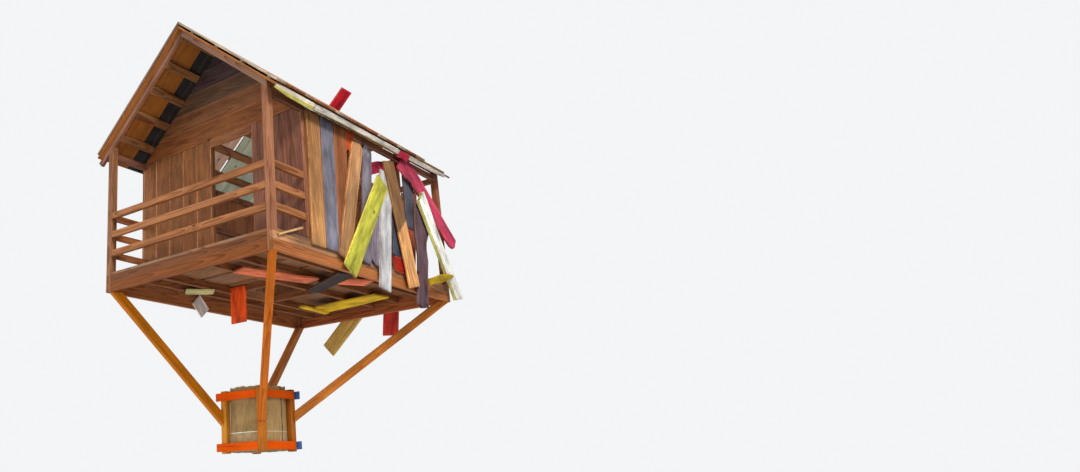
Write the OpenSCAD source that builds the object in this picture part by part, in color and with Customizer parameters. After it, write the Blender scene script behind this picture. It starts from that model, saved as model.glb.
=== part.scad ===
// Tree house: a small gabled hut with a front porch on a timber deck, braced from a collar of
// posts and bands round a trunk. Millimetres, +Z up, the porch faces -Y.
// The origin is on the inside of the collar's front, level with the lower bands, where the
// trunk bears on the wrap.

/* [Deck] */
// Width of the deck, across the porch
deck_w = 2400; // [2200:10:2600]
// Length of the deck, from the porch to the back
deck_l = 3500; // [3300:10:3800]
// Height of the lower rim timbers
rim_low_h = 105; // [90:1:125]
// Height of the upper rim timbers and of the joists
rim_up_h = 85; // [70:1:100]
// Thickness of the rim timbers, joists, rails, studs and rafters
timber_t = 45; // [38:1:50]
// Side of the square corner posts and collar posts
post_s = 75; // [65:1:90]
// Width of a deck board
deck_board_w = 140; // [120:1:150]
// Thickness of a deck board
deck_board_t = 28; // [22:1:34]
// Gap between two deck boards
deck_gap = 6; // [4:1:10]
// Gap along the place of the narrow deck board
wide_gap = 80; // [60:1:90]

/* [Porch] */
// Depth of the porch, from the deck's front to the wall's face
porch_d = 547; // [480:1:620]
// Height of a rail
rail_h = 70; // [60:1:80]
// Height of the top rail's upper edge above the deck
rail_top = 700; // [660:10:760]
// Distance between the upper edges of two rails
rail_pitch = 221; // [190:1:240]

/* [Walls] */
// Height of the corner posts' outer edge above the rim's foot
post_h = 1668; // [1600:1:1800]
// Thickness of wall boards and of the loose boards
board_t = 25; // [20:1:28]
// Width of a wall board
board_w = 222; // [200:1:240]
// Gap between two wall boards
board_gap = 2; // [1:1:4]
// Height of the plates, ties and rails in the wall frame
plate_h = 70; // [60:1:80]
// Left jamb of the doorway, measured from the middle of the deck
door_left = -90; // [-140:1:-60]
// Width of the doorway
door_w = 610; // [560:1:660]
// Height of the board over the doorway
header_h = 95; // [80:1:120]
// Height of the rail across the side walls, above the deck
mid_rail_z = 865; // [820:1:900]

/* [Roof] */
// Pitch of the roof in degrees
pitch = 41.4; // [38:0.1:44]
// Depth of the rafters and purlins, square to the slope
rafter_d = 60; // [50:1:70]
// Width of a purlin, along the slope
purlin_w = 90; // [70:1:100]
// Thickness of the roof panels
panel_t = 22; // [16:1:25]
// Half the open joint between two panels of the left slope
panel_slit = 18; // [10:1:25]
// Thickness of the battens on the panels
batten_t = 20; // [15:1:25]
// Thickness of the top boards
roof_board_t = 22; // [18:1:25]
// Width of a roof board
roof_board_w = 146; // [120:1:150]
// Sideways reach of the eaves past the posts
eave = 138; // [110:1:160]
// Reach of the roof past the front and the back of the deck
verge = 46; // [30:1:60]

/* [Collar] */
// Half the outer side of the square of collar posts
collar_half = 300; // [280:1:330]
// Height of a collar band
band_h = 88; // [70:1:100]
// Thickness of a collar band
band_t = 22; // [18:1:28]
// Height of the upper bands above the lower ones, middle to middle
band_rise = 558; // [520:1:600]
// Reach of the collar posts past the bands
post_reach = 22; // [10:1:40]
// Reach of the front and back bands past the corner that they lap over
band_tail = 60; // [40:1:70]
// Thickness of the canvas wrap
wrap_t = 8; // [5:1:12]
// Reach of the wrap past the bands
wrap_reach = 55; // [40:1:80]

/* [Braces] */
// Width of a brace, seen from its end
brace_w = 75; // [65:1:85]
// Depth of a brace, in its upright plane
brace_d = 95; // [85:1:105]
// Height of the braces' feet above the lower bands
brace_foot = 325; // [290:1:360]
// Distance of a brace's head from the sides of the deck's corner
brace_inset = 80; // [60:1:110]
// Depth of the notch that seats a brace on the post's corner
brace_notch = 20; // [12:1:26]

/* [Trunk way] */
// Height of the rim's foot above the lower bands
deck_z = 1685; // [1600:5:1800]
// Middle of the deck to the right of the collar's middle
deck_dx = 360; // [300:1:420]
// Middle of the deck behind the collar's middle
deck_dy = 195; // [150:1:250]
// Side of the square hole in the deck
deck_hole = 680; // [650:1:720]
// Middle of the deck's hole, to the left of the deck's middle
deck_hole_x = -268; // [-300:1:-240]
// Middle of the deck's hole, behind the deck's middle
deck_hole_y = 70; // [40:1:90]
// Side of the square hole in the roof
roof_hole = 600; // [560:1:640]
// Middle of the roof's hole, to the left of the ridge
roof_hole_x = -110; // [-140:1:-80]
// Middle of the roof's hole, behind the deck's middle
roof_hole_y = 520; // [480:1:560]

/* [Loose boards] */
// Thickness of a loose board under the deck or at the eaves
under_t = 22; // [18:1:25]

/* [Hidden] */
$fn = 96;
soft_gap = 0.3;
// The largest trunk that the collar takes
trunk_r = collar_half - soft_gap - wrap_t;

// Heights above the rim's foot
joist_z = rim_low_h;
deck_under = rim_low_h + rim_up_h;
deck_top = deck_under + deck_board_t;
plate_z = post_h - plate_h;
wall_top = post_h + board_gap;
side_foot = deck_under - board_t;

// Half sizes and wall lines, from the middle of the deck
half_w = deck_w / 2;
half_l = deck_l / 2;
front_face = -half_l + porch_d;
front_frame = front_face + board_t;
back_frame = half_l - timber_t;
side_run = half_l - front_frame;
door_right = door_left + door_w;
// Width of a whole loose board: thirteen side by side are a little wider than a side wall
loose_w = side_run / 12.84;

// The trunk's way through the deck and the roof
hole_left = deck_hole_x - deck_hole / 2;
hole_right = deck_hole_x + deck_hole / 2;
hole_front = deck_hole_y - deck_hole / 2;
hole_back = deck_hole_y + deck_hole / 2;
roof_front = roof_hole_y - roof_hole / 2;
roof_back = roof_hole_y + roof_hole / 2;
roof_reach_left = roof_hole / 2 - roof_hole_x;
roof_reach_right = roof_hole / 2 + roof_hole_x;

// Offsets of the roof's layers, square to the slope, from the rafters' underside
panel_low = rafter_d;
batten_low = panel_low + panel_t;
board_low = batten_low + batten_t;
board_high = board_low + roof_board_t;

// Height of the rafters' underside at a distance from the ridge line
function under(x) = post_h - (abs(x) - half_w) * tan(pitch);
// Distance from the ridge line at which the rafters' underside has a height
function reach(z) = half_w - (z - post_h) / tan(pitch);
// A repeatable number from 0 to 1 for the n-th board of a set
function spread(n, set) = let (s = sin(n * 78.233 + set * 37.719) * 437.585) s - floor(s);

ridge_top = under(0) + rafter_d / cos(pitch) - timber_t / 2 * tan(pitch);
ridge_d = 95;
ridge_foot = ridge_top - ridge_d;

module at_deck() translate([deck_dx, trunk_r + deck_dy, deck_z]) children();
module at_collar() translate([0, trunk_r, 0]) children();
module both_sides() {
    children();
    mirror([1, 0, 0]) children();
}
module span(low, high) translate(low) cube(high - low);
// A profile in X and Z carried along Y
module along_y(y0, y1) translate([0, y1, 0]) rotate([90, 0, 0]) linear_extrude(y1 - y0) children();

// A post of the collar stands in each corner of the square round the trunk. Two of them, across
// from one another, are flush with the bands' faces, and the bands butt against these
function post_face(sx, sy) = sx * sy < 0 ? collar_half + band_t : collar_half;
module collar_post(sx, sy) {
    low = -band_h / 2 - post_reach;
    centre = post_face(sx, sy) - post_s / 2;
    translate([sx * centre, sy * centre, low]) translate([-post_s / 2, -post_s / 2, 0])
        cube([post_s, post_s, band_rise + band_h + 2 * post_reach]);
}
module collar_posts() color("peru") at_collar()
    for (sx = [-1, 1], sy = [-1, 1]) collar_post(sx, sy);

// The bands of one side and, half a turn on, of the side across: each butts against a flush post
// at its one end and laps over the other post
butt_end = collar_half + band_t - post_s;
module front_band_pair() for (z = [0, band_rise])
    span([-collar_half - band_tail, -collar_half - band_t, z - band_h / 2],
        [butt_end, -collar_half, z + band_h / 2]);
module right_band_pair() for (z = [0, band_rise])
    span([collar_half, -butt_end, z - band_h / 2],
        [collar_half + band_t, collar_half - post_s / 2, z + band_h / 2]);
module collar_bands() color("orangered") at_collar()
    for (turn = [0, 180]) rotate([0, 0, turn]) front_band_pair();
module collar_side_bands() color("orangered") at_collar()
    for (turn = [0, 180]) rotate([0, 0, turn]) right_band_pair();

// The wrap lines the bands and goes round the inside of each post
module wrap_outline(inset) difference() {
    square(2 * (collar_half - soft_gap - inset), center = true);
    for (sx = [-1, 1], sy = [-1, 1]) {
        far = post_face(sx, sy) - soft_gap - inset;
        translate([sx * far, sy * far]) square(2 * post_s, center = true);
    }
}
module trunk_wrap() color("tan") at_collar() translate([0, 0, -band_h / 2 - wrap_reach])
    linear_extrude(band_rise + band_h + 2 * wrap_reach) difference() {
        wrap_outline(0);
        wrap_outline(wrap_t);
    }

// A brace runs from a deck corner down to the corner of a collar post, where a notch seats it
module brace(sx, sy) {
    face = post_face(sx, sy);
    foot = [sx * face, trunk_r + sy * face];
    head = [deck_dx + sx * (half_w - brace_inset),
        trunk_r + deck_dy + sy * (half_l - brace_inset)];
    run = norm(head - foot);
    rise = deck_z - brace_foot;
    long = norm([run, rise]) + 2 * brace_d;
    color("darkorange") difference() {
        intersection() {
            translate([foot.x, foot.y, brace_foot])
                rotate([0, 0, atan2(head.y - foot.y, head.x - foot.x)])
                rotate([0, -atan2(rise, run), 0])
                translate([-brace_d, -brace_w / 2, -brace_d / 2]) cube([long, brace_w, brace_d]);
            translate([foot.x, foot.y, 0]) rotate([0, 0, atan2(head.y - foot.y, head.x - foot.x)])
                translate([-brace_notch, -brace_w, 0]) cube([long, 2 * brace_w, deck_z]);
        }
        at_collar() collar_post(sx, sy);
    }
}
module brace_front_right() brace(1, -1);
module brace_front_left() brace(-1, -1);
module brace_back_right() brace(1, 1);
module brace_back_left() brace(-1, 1);

// The posts' tops are cut to the slope of the rake rafters that they carry, and their feet are
// rebated for the side rims, which run the whole length of the deck
module corner_posts() color("sienna") at_deck() both_sides()
    for (y = [-half_l, half_l - post_s]) along_y(y, y + post_s)
        polygon([[half_w - post_s, 0], [half_w - timber_t, 0], [half_w - timber_t, deck_under],
            [half_w, deck_under], [half_w, post_h], [half_w - post_s, under(half_w - post_s)]]);

module rim(z0, z1) {
    for (y = [-half_l, half_l - timber_t])
        span([-half_w + post_s, y, z0], [half_w - post_s, y + timber_t, z1]);
    both_sides() span([half_w - timber_t, -half_l, z0], [half_w, half_l, z1]);
}
module lower_rims() color("chocolate") at_deck() rim(0, rim_low_h);
module upper_rims() color("sienna") at_deck() rim(joist_z, deck_under);

// Joists run from front to back, and two of them trim the trunk's hole
joist_x = [-0.37 * deck_w, hole_left - timber_t / 2, hole_right + timber_t / 2,
    0.196 * deck_w, 0.346 * deck_w];
module joists() color("saddlebrown") at_deck() for (x = joist_x)
    span([x - timber_t / 2, -half_l + timber_t, joist_z],
        [x + timber_t / 2, half_l - timber_t, deck_under]);
module trunk_headers() color("saddlebrown") at_deck() {
    span([hole_left, hole_front - timber_t, joist_z], [hole_right, hole_front, deck_under]);
    span([hole_left, hole_back, joist_z], [hole_right, hole_back + timber_t, deck_under]);
}

// Deck boards run across, and those in the trunk's hole are cut short at its sides
deck_pitch = deck_board_w + deck_gap;
deck_count = floor((deck_l + deck_gap) / deck_pitch);
narrow_ones = [6, 9];
module deck_boards() color("peru") at_deck() difference() {
    for (i = [0 : deck_count - 1]) {
        y1 = i == deck_count - 1 ? half_l : -half_l + i * deck_pitch + deck_board_w;
        y0 = -half_l + i * deck_pitch
            + (i == narrow_ones[0] || i == narrow_ones[1] ? wide_gap : 0);
        middle = (y0 + y1) / 2;
        holed = middle > hole_front && middle < hole_back;
        span([-half_w, y0, deck_under], [holed ? hole_left : half_w, y1, deck_top]);
        if (holed) span([hole_right, y0, deck_under], [half_w, y1, deck_top]);
    }
    both_sides() for (y = [-half_l - 1, half_l - post_s])
        span([half_w - post_s, y, 0], [half_w + 1, y + post_s + 1, post_h]);
}

module rails(low, high) for (k = [0 : 2]) {
    top = deck_top + rail_top - k * rail_pitch;
    span([low.x, low.y, top - rail_h], [high.x, high.y, top]);
}
module front_rails() color("sienna") at_deck()
    rails([-half_w + post_s, -half_l], [half_w - post_s, -half_l + timber_t]);
module side_rails() color("sienna") at_deck() both_sides()
    rails([half_w - timber_t, -half_l + post_s], [half_w, front_face]);

// Wall frame: corner and door posts, and short studs behind the gable boards
module wall_studs() color("saddlebrown") at_deck() {
    both_sides() span([half_w - post_s, front_frame, deck_top],
        [half_w, front_frame + post_s, plate_z]);
    for (x = [door_left - timber_t, door_right])
        span([x, front_frame, deck_top], [x + timber_t, front_frame + timber_t, plate_z]);
    for (y = [front_frame, back_frame]) {
        span([-timber_t / 2, y, post_h], [timber_t / 2, y + timber_t, ridge_foot]);
        both_sides() along_y(y, y + timber_t) polygon([[half_w / 2, post_h],
            [half_w / 2 + timber_t, post_h], [half_w / 2 + timber_t, under(half_w / 2 + timber_t)],
            [half_w / 2, under(half_w / 2)]]);
    }
}
module wall_plates() color("saddlebrown") at_deck() both_sides() {
    span([half_w - timber_t, -half_l + post_s, plate_z], [half_w, half_l - post_s, post_h]);
    span([half_w - timber_t, front_frame + post_s, deck_top + mid_rail_z],
        [half_w, half_l - post_s, deck_top + mid_rail_z + plate_h]);
}
// The front tie runs between the side plates, and the back one between the corner posts
module wall_ties() color("saddlebrown") at_deck()
    for (tie = [[front_frame, half_w - timber_t], [back_frame, half_w - post_s]])
        span([-tie[1], tie[0], plate_z], [tie[1], tie[0] + timber_t, post_h]);

// Upright boards that fill a stretch of wall, all of one width
module upright_boards(x0, x1, y, z0, z1) {
    count = max(1, round((x1 - x0) / board_w));
    wide = (x1 - x0 + board_gap) / count;
    for (i = [0 : count - 1])
        span([x0 + i * wide, y, z0], [x0 + (i + 1) * wide - board_gap, y + board_t, z1]);
}
module front_wall_left() color("peru") at_deck()
    upright_boards(-half_w, door_left, front_face, deck_top, wall_top - board_gap);
module front_wall_right() color("brown") at_deck()
    upright_boards(door_right, half_w, front_face, deck_top, wall_top - board_gap);
module doorway_header() color("peru") at_deck()
    span([door_left, front_face, post_h - header_h], [door_right, front_frame, post_h]);
module left_wall() color("sienna") at_deck() translate([-half_w, 0, 0]) rotate([0, 0, 90])
    upright_boards(front_face, half_l, 0, side_foot, post_h);

// Boards lie across a gable up to the ridge beam, cut at their left ends to the slope and at
// their right ends to the slope or, where the gable stays open, square at a last place
module gable(y, last) {
    count = ceil((ridge_foot - wall_top) / board_w);
    for (i = [0 : count - 1]) {
        z0 = wall_top + i * board_w;
        z1 = min(z0 + board_w - board_gap, ridge_foot);
        end = last + spread(i, 3) * board_w;
        along_y(y, y + board_t) polygon(end < reach(z1)
            ? [[-reach(z0), z0], [end, z0], [end, z1], [-reach(z1), z1]]
            : [[-reach(z0), z0], [reach(z0), z0], [reach(z1), z1], [-reach(z1), z1]]);
    }
}
module front_gable() color("sienna") at_deck() gable(front_face, half_w);
module back_gable() color("sienna") at_deck() gable(half_l, timber_t);

// A roof layer on the right slope, plumb at its inner end and square at its outer end
module slope_layer(x_in, x_out, low, high, y0, y1) along_y(y0, y1)
    polygon([[x_in, under(x_in) + low / cos(pitch)], [x_out, under(x_out) + low / cos(pitch)],
        [x_out + (high - low) * sin(pitch),
            under(x_out) + low / cos(pitch) + (high - low) * cos(pitch)],
        [x_in, under(x_in) + high / cos(pitch)]]);
// A bar along the right slope, square to it, with its underside at the offset low
module slope_bar(x, wide, low, high, y0, y1) translate([x, y0, under(x)]) rotate([0, pitch, 0])
    translate([-wide / 2, 0, low]) cube([wide, y1 - y0, high - low]);
// The two stretches of a piece that the trunk's hole cuts, or the one whole piece
module past_hole(y0, y1, holed) for (s = holed ? [[y0, roof_front], [roof_back, y1]] : [[y0, y1]]) {
    $y0 = s[0];
    $y1 = s[1];
    children();
}

// The left rake rafters run on to the eave, and the right ones end plumb over the posts
module rake_rafters() color("sienna") at_deck() for (y = [-half_l, half_l - timber_t]) {
    mirror([1, 0, 0]) slope_layer(board_gap / 2, half_w + eave, 0, rafter_d, y, y + timber_t);
    along_y(y, y + timber_t) polygon([[board_gap / 2, under(board_gap / 2)], [half_w, post_h],
        [half_w, post_h + rafter_d / cos(pitch)],
        [board_gap / 2, under(board_gap / 2) + rafter_d / cos(pitch)]]);
}
purlin_first = 0.225 * half_w;
purlin_step = 0.2125 * half_w;
module slope_purlins(hole_reach) for (k = [0 : 3]) {
    x = purlin_first + k * purlin_step;
    past_hole(-half_l + timber_t, half_l - timber_t, x - purlin_w / 2 < hole_reach)
        slope_bar(x, purlin_w, 0, rafter_d, $y0, $y1);
}
module purlins() color("sienna") at_deck() {
    slope_purlins(roof_reach_right);
    mirror([1, 0, 0]) slope_purlins(roof_reach_left);
}
module ridge_beam() color("saddlebrown") at_deck()
    past_hole(-half_l + timber_t, half_l - timber_t, true)
        span([-timber_t / 2, $y0, ridge_foot], [timber_t / 2, $y1, ridge_top]);

// Panels in six lengths: over the porch, a narrow one before the wall, and four behind it, of
// which the one beside the trunk starts at the hole's edge
porch_panel = 0.73 * porch_d;
module slope_panels(hole_reach, slit) {
    stops = [-half_l - verge, -half_l + porch_panel, front_face, 0, roof_front, roof_back,
        half_l + verge];
    for (k = [0 : 5]) slope_layer(k == 4 ? hole_reach : board_gap / 2, half_w + eave,
        panel_low, panel_low + panel_t, stops[k] + (k == 3 ? slit : 0),
        stops[k + 1] - (k == 2 ? max(slit, board_gap) : board_gap));
}
module roof_panels() color("dimgray") at_deck() {
    slope_panels(roof_reach_right, 0);
    mirror([1, 0, 0]) slope_panels(roof_reach_left, panel_slit);
}
batten_first = 150;
batten_w = 45;
module slope_battens(hole_reach) for (k = [0 : 3]) {
    x = batten_first + k * (half_w - batten_first) / 3;
    past_hole(-half_l - verge, half_l + verge, x - batten_w < hole_reach)
        slope_bar(x, batten_w, batten_low, batten_low + batten_t, $y0, $y1);
}
module roof_battens() color("saddlebrown") at_deck() {
    slope_battens(roof_reach_right);
    mirror([1, 0, 0]) slope_battens(roof_reach_left);
}

// Top boards run down a slope, and their lower ends are uneven. One is narrow, which leaves a
// slit of the given width, and those behind the place bare stop short of the eave
roof_gap = 4;
module slope_boards(hole_reach, shortest, longest, set, slit, bare) {
    run = deck_l + 2 * verge;
    count = round(run / (roof_board_w + roof_gap));
    wide = (run + roof_gap) / count;
    for (i = [0 : count - 1]) {
        y0 = -half_l - verge + i * wide;
        y1 = y0 + wide - roof_gap;
        holed = y1 > roof_front && y0 < roof_back;
        slope_layer(holed ? hole_reach : board_gap / 2,
            y0 > bare ? 0.79 * half_w : half_w + shortest + spread(i, set) * (longest - shortest),
            board_low, board_high, y0 + (i == ceil(count / 2) ? slit : 0), y1);
    }
}
module roof_boards_left() color("sienna") at_deck() mirror([1, 0, 0])
    slope_boards(roof_reach_left, eave - 15, eave + 15, 1, roof_board_w / 2, half_l + verge);
module roof_boards_right() color("burlywood") at_deck()
    slope_boards(roof_reach_right, eave - 30, eave + 60, 2, 0, 0.29 * deck_l);

// Loose boards keep their places when the hut is resized: places, leans and widths are shares of
// the side wall's run, the deck's width or a whole board, and heights are shares of a post's
module leaning(lean, low, high, wide, thick)
    rotate([-atan2(lean, high - low), 0, 0]) translate([0, -wide / 2, 0])
        cube([thick, wide, norm([lean, high - low])]);
// On the right wall: the foot's place from the wall's front, how far the head leans back, the
// heights of foot and head, the width, and how many boards lie under it
module wall_board(place, lean, foot, head, wide, layers, thick = board_t)
    translate([half_w + layers * board_t, front_frame + place * side_run, foot * post_h])
        leaning(lean * side_run, foot * post_h, head * post_h, wide * loose_w, thick);
// On the back: the foot's place from the middle and how far the head leans to the right
module back_board(place, lean, foot, head, wide, layers)
    translate([place * deck_w, half_l + (layers + 1) * board_t, foot * post_h]) rotate([0, 0, -90])
        leaning(lean * deck_w, foot * post_h, head * post_h, wide * loose_w, board_t);
// Flat under the joists: its two ends as shares of the deck's sizes
module under_board(a, b, wide, level) {
    from = [a.x * deck_w, a.y * deck_l];
    to = [b.x * deck_w, b.y * deck_l];
    translate([from.x, from.y, joist_z - level * under_t])
        rotate([0, 0, atan2(to.y - from.y, to.x - from.x)])
        translate([0, -wide * loose_w / 2, 0]) cube([norm(to - from), wide * loose_w, under_t]);
}
// On edge along the right eave, against the panels' ends, from one share of the roof's half
// length to another
strip_h = 0.58 * eave;
module eave_strip(from, to)
    translate([half_w + eave, 0, under(half_w + eave) + panel_low / cos(pitch)])
        rotate([0, pitch, 0]) translate([0, from * (half_l + verge), panel_t - strip_h])
        cube([under_t, (to - from) * (half_l + verge) - board_gap, strip_h]);

module back_wall() color("sienna") at_deck() for (place = [-0.452, -0.354, -0.045])
    back_board(place, 0, 0.099, 1, 1, 0);
module brown_boards() color("peru") at_deck() {
    wall_board(0.047, 0.002, 0.099, 0.983, 1, 0);
    wall_board(0.204, 0.0154, 0.093, 0.983, 1, 0);
    wall_board(0.188, 0.1393, 0.0713, 0.9227, 0.9, 1);
}
module slate_boards() color("slategray") at_deck() {
    wall_board(0.128, 0.0075, 0.099, 0.983, 1, 0);
    wall_board(0.702, 0.0102, 0.4556, 0.983, 1, 0);
    wall_board(0.568, 0.0342, 0.2068, 0.7494, 0.833, 0);
    back_board(-0.2583, 0.0083, 0.09, 0.985, 1, 0);
}
module grey_boards() color("lightslategray") at_deck() {
    wall_board(0.3421, 0.0656, 0.09, 0.9544, 0.767, 0);
    wall_board(0.4186, 0.0307, 0.09, 0.4556, 1.118, 0);
    back_board(-0.148, 0, 0.12, 0.97, 1, 0);
}
module yellow_boards() color("yellow") at_deck() {
    wall_board(0.205, 0.2725, -0.0084, 0.7062, 1, 2);
    translate([timber_t, 0, 0]) wall_board(0.7268, 0.2254, 0.063, 0.168, 0.5, 3);
    under_board([-0.2, 0.351], [0.247, 0.321], 1, 1);
    under_board([-0.165, 0.22], [-0.185, 0.4], 0.395, 2);
    under_board([-0.358, -0.243], [-0.267, -0.171], 0.877, 1);
    back_board(0.0521, 0.0104, 0.11, 0.975, 0.9, 0);
    eave_strip(-1, -0.64);
}
module white_boards() color("white") at_deck() {
    wall_board(0.447, 0.0725, -0.0606, 0.7974, 1, 1);
    wall_board(-0.175, 0.133, 0.09, 0.18, 0.1, 0);
    mirror([1, 0, 0]) translate([-timber_t - board_t, 0, 0])
        wall_board(0.274, 0.0427, -0.012, 0.0624, 0.987, 0);
    back_board(0.246, 0.0667, 0.1, 0.95, 1, 0);
    eave_strip(-0.64, 0.29);
    eave_strip(0.42, 1);
}
module tan_boards() color("burlywood") at_deck() {
    wall_board(0.658, -0.1264, 0.0114, 0.8861, 1, 2);
    back_board(-0.3017, 0.2392, -0.2152, 0.0929, 1, 1);
}
module plum_board() color("indigo") at_deck()
    wall_board(0.723, 0.0649, -0.1235, 0.7242, 1.053, 1);
module lime_board() color("palegoldenrod") at_deck()
    wall_board(1.009, -0.2473, -0.0036, 0.7476, 0.658, 3, timber_t);
module crimson_boards() color("crimson") at_deck() {
    wall_board(1.047, -0.4191, 0.4382, 0.9442, 0.877, 2);
    translate([-board_t - timber_t, 0, 0]) wall_board(0.446, 0.2633, 0.8034, 0.9652, 0.636, 0);
    eave_strip(0.29, 0.42);
}
module red_boards() color("red") at_deck() {
    wall_board(0.583, 0.0017, 0.099, 0.2038, 0.987, 0);
    wall_board(0.653, 0.0085, 0.099, 0.4436, 0.658, 0);
    wall_board(0.283, 0.0034, 0.8393, 0.983, 0.658, 0);
    back_board(0.1225, 0.0888, -0.1751, 0.9353, 1, 0);
    translate([0, hole_front - timber_t - board_t - half_l, 0])
        back_board(-0.2083, 0, -0.1589, 0.1019, 1, 0);
    mirror([1, 0, 0]) translate([0, 0.3557 * deck_l, under(0) + board_high / cos(pitch)])
        rotate([0, pitch, 0]) translate([-half_w / 4, -loose_w / 2, 0])
        cube([0.583 * half_w, loose_w, board_t]);
}
module salmon_boards() color("salmon") at_deck() {
    under_board([0.095, -0.327], [0.198, -0.044], 1, 1);
    under_board([0.25, -0.017], [0.358, 0.12], 1, 1);
    slope_bar(half_w + eave
            - (panel_low * tan(pitch) + board_gap + 0.32 * loose_w) * cos(pitch),
        0.64 * loose_w, panel_low - under_t, panel_low, 0.3 * deck_l, 0.445 * deck_l);
}
module dark_board() color("darkslategray") at_deck()
    under_board([0.419, -0.063], [0.081, 0.057], 0.877, 2);

collar_posts();
collar_bands();
collar_side_bands();
trunk_wrap();
brace_front_right();
brace_front_left();
brace_back_right();
brace_back_left();
corner_posts();
lower_rims();
upper_rims();
joists();
trunk_headers();
deck_boards();
front_rails();
side_rails();
wall_studs();
wall_plates();
wall_ties();
front_wall_left();
front_wall_right();
doorway_header();
front_gable();
left_wall();
back_wall();
back_gable();
rake_rafters();
purlins();
ridge_beam();
roof_panels();
roof_battens();
roof_boards_left();
roof_boards_right();
brown_boards();
slate_boards();
grey_boards();
yellow_boards();
white_boards();
tan_boards();
plum_board();
lime_board();
crimson_boards();
red_boards();
salmon_boards();
dark_board();
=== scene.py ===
# %% [markdown]
# # A patchwork tree house
# This lesson dresses the construction model of a small timber hut. The hut stands on a collar
# of posts and bands, and its right wall is nailed up from scrap boards in many colours. Almost
# everything on it is a sawn board, so the lesson is about one thing done well: a board that has
# eased edges, a slight bow, its own grain and its own coat of stain or paint.

import math
import bmesh
import bpy
import numpy as np
from mathutils import Matrix, Vector


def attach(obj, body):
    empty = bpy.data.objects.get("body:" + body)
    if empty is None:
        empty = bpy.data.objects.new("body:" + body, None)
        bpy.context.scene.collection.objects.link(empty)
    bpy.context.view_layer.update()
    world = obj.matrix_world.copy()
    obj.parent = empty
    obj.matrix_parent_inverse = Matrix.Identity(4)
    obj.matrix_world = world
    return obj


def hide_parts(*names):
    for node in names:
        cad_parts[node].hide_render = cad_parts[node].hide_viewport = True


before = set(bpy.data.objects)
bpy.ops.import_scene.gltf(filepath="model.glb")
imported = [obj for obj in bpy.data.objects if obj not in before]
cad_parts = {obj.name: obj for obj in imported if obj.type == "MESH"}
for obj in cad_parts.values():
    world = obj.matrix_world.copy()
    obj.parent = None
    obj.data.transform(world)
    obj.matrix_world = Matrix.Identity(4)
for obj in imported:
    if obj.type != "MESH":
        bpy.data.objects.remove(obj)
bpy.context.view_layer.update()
SEED = 20
chance = np.random.default_rng(SEED)
print("construction nodes:", len(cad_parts))

# %% [markdown]
# ## Where the viewer stands
# The photograph was taken from the ground, with the hut overhead and to the left of the middle of
# the picture. A camera could be aimed by hand, but the place worked out from the hut's own
# corners gives the same outlines. The shift keeps the hut in the left half, as in the photograph.

# %% Camera
EYE = (6.0442, -6.8649, -0.3807)
TURN, RAISE, ROLL = -0.6833, 0.2924, -0.0374
FOCAL_MM, SHIFT_RIGHT, SHIFT_UP = 26.826, 0.2531, 0.003
ahead = Vector((math.sin(TURN) * math.cos(RAISE), math.cos(TURN) * math.cos(RAISE),
                math.sin(RAISE)))
level = Vector((math.cos(TURN), -math.sin(TURN), 0.0))
upward = level.cross(ahead)
right = level * math.cos(ROLL) + upward * math.sin(ROLL)
upward = upward * math.cos(ROLL) - level * math.sin(ROLL)

lens = bpy.data.cameras.new("camera")
lens.sensor_width = 36.0
lens.lens = FOCAL_MM
lens.shift_x, lens.shift_y = SHIFT_RIGHT, SHIFT_UP
lens.clip_end = 200.0
camera = bpy.data.objects.new("camera", lens)
turned = Matrix((right, upward, -ahead)).transposed().to_4x4()
camera.matrix_world = Matrix.Translation(EYE) @ turned
bpy.context.scene.collection.objects.link(camera)
bpy.context.scene.camera = camera
bpy.context.scene.view_settings.view_transform = "Standard"
print("camera at", EYE)

# %% [markdown]
# ## Node trees written as sums
# A finish is a tree of nodes, and wiring it by hand is long. The small class below wraps one
# socket and gives it the usual operators, so that a mask can be written as `1 - mask`. All other
# nodes come from one method, `add`, that takes the kind of node, its settings and its sockets.

# %% Sockets as numbers
class Value:
    """One socket of a finish. Each operator adds the Math node that does it."""

    def __init__(self, finish, socket):
        self.finish, self.socket = finish, socket

    def math(self, operation, *others):
        return self.finish.add("Math", {"operation": operation}, dict(enumerate((self, *others))))

    def __add__(self, other): return self.math("ADD", other)
    def __sub__(self, other): return self.math("SUBTRACT", other)
    def __mul__(self, other): return self.math("MULTIPLY", other)
    def __rsub__(self, other): return self.finish.add(
        "Math", {"operation": "SUBTRACT"}, {0: other, 1: self})
    __radd__, __rmul__ = __add__, __mul__

    def ramp(self, low, high):
        """0 up to low, 1 from high on, and a smooth step between them."""
        return self.finish.add("MapRange", {"interpolation_type": "SMOOTHSTEP"},
                               {"Value": self, "From Min": low, "From Max": high})


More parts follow.
